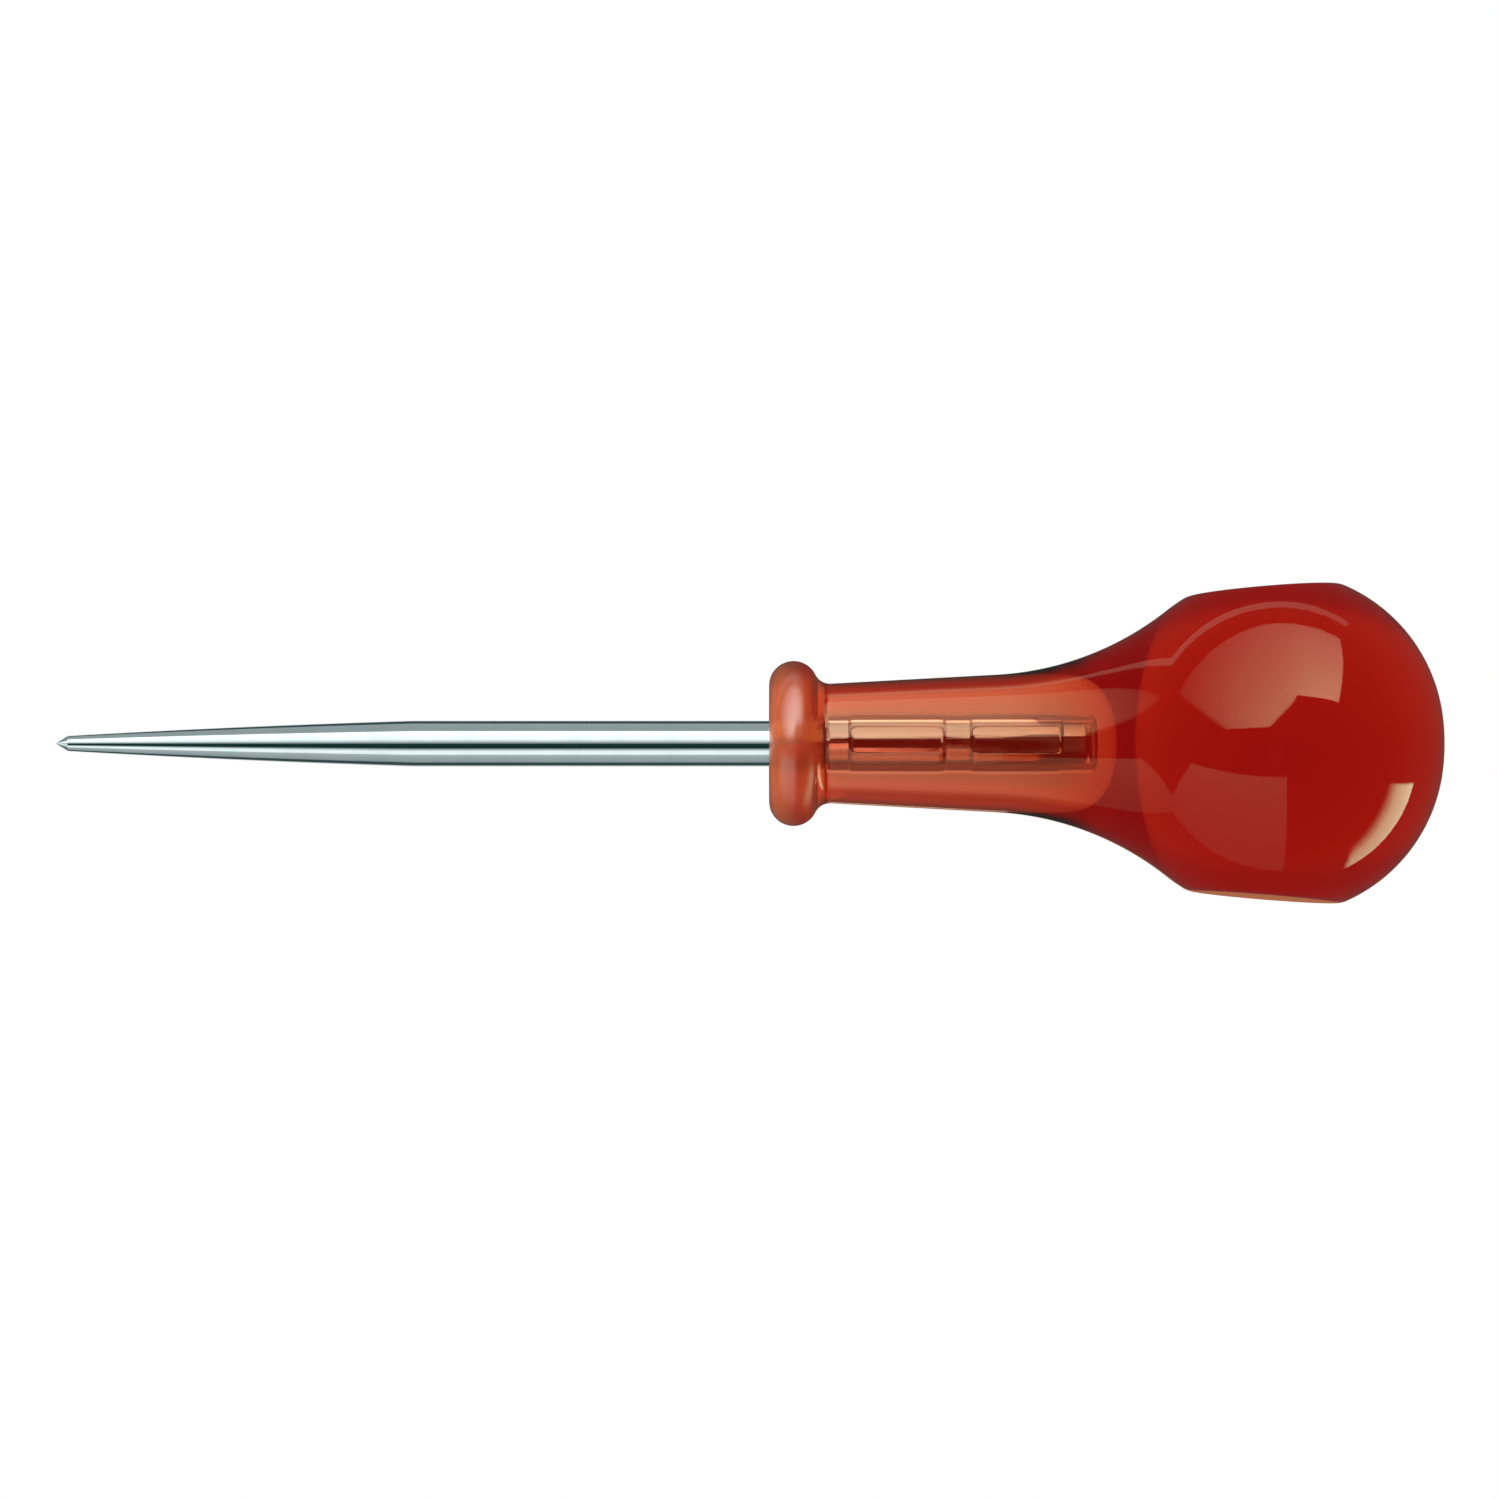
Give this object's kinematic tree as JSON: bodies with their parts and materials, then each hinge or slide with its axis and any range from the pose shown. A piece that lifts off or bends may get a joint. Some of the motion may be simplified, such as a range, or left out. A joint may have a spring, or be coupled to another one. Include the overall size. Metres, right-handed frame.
{
  "type": "bradawl",
  "caption": "Bradawl for starting holes: a slim round steel blade ground to a point, set in a clear red pear-shaped palm handle with a rounded collar and flattened sides.",
  "frame": {"origin": "on the blade's axis, in the plane of the collar's front face", "axes": "+X from the point towards the handle's domed end, +Z out of the upper flat of the handle, Y across"},
  "size_m": [0.1362, 0.0338, 0.0314],
  "materials": {
    "chromed_steel": "polished",
    "clear_red_plastic": "gloss"
  },
  "bodies": {
    "root": {"blade": "chromed_steel", "handle": "clear_red_plastic"}
  },
  "joints": []
}
